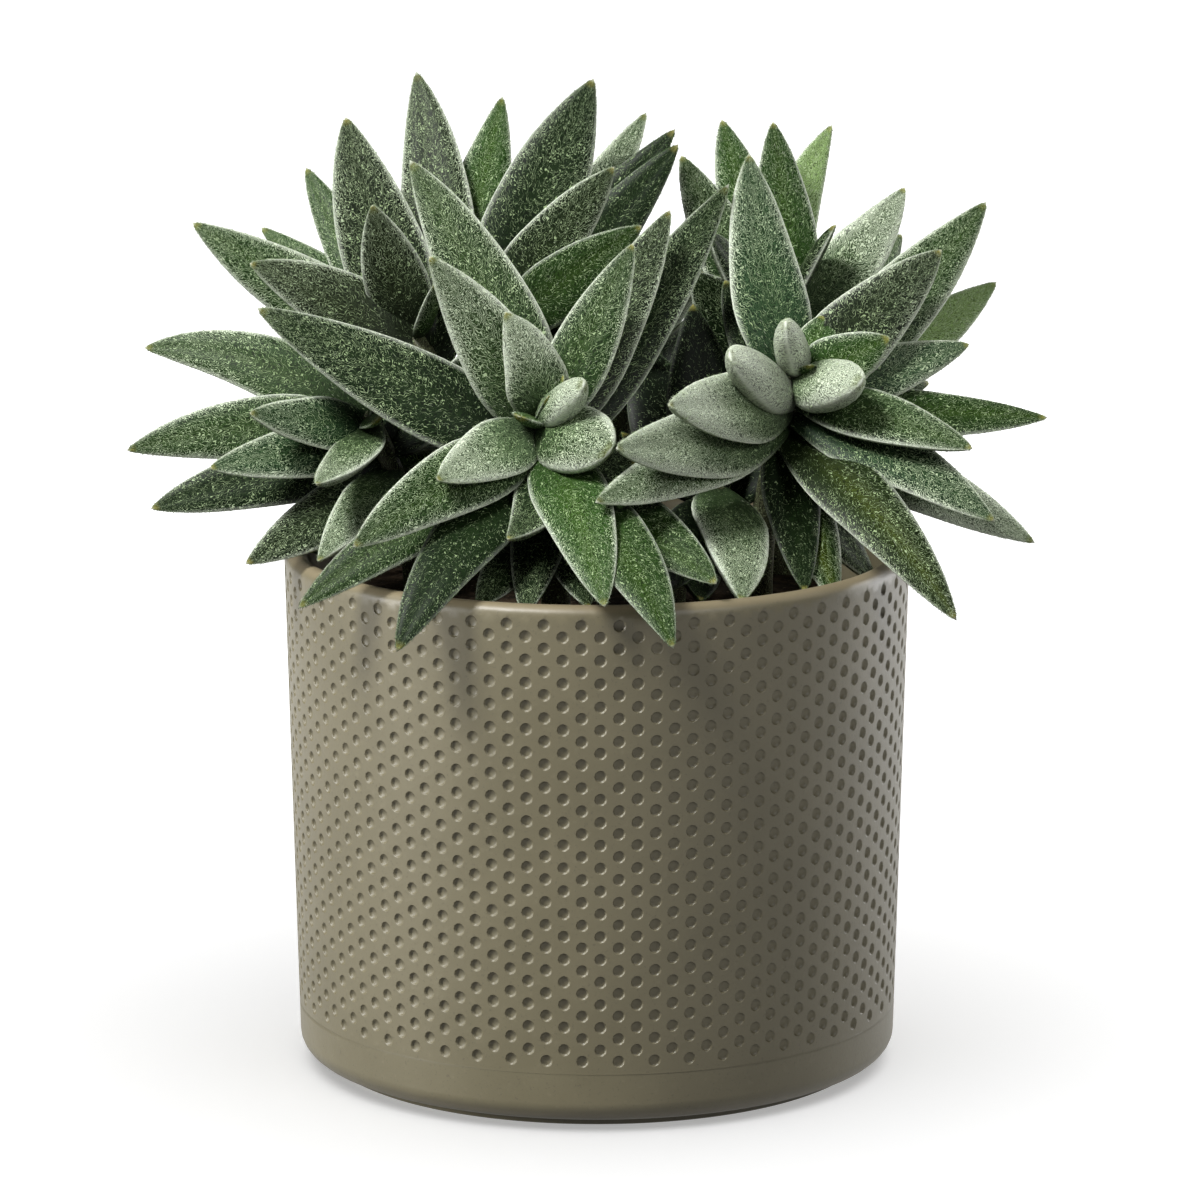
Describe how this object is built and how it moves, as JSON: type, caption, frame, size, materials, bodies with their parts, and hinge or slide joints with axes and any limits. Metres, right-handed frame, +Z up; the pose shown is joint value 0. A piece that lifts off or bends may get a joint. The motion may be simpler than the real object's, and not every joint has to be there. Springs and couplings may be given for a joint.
{
  "type": "potted succulent",
  "caption": "Clustered leafy succulent with thick pointed grey-green leaves, growing over the rim of a round dimpled clay pot.",
  "frame": {"origin": "middle of the pot's flat foot, on the surface that it stands on", "axes": "+Z up along the pot's axis, -Y towards the side that the picture shows, +X to the right in it"},
  "size_m": [0.1143, 0.1154, 0.1205],
  "materials": {
    "pot_clay": "matte",
    "soil": "matte",
    "leaf": "matte"
  },
  "bodies": {
    "root": {"pot": "pot_clay", "soil": "soil", "stem_front": "leaf", "stem_right": "leaf", "stem_middle": "leaf", "stem_left": "leaf", "stem_back_left": "leaf", "stem_back": "leaf", "stem_back_right": "leaf", "stem_rear_left": "leaf", "stem_rear": "leaf", "stem_rear_right": "leaf"}
  },
  "joints": []
}
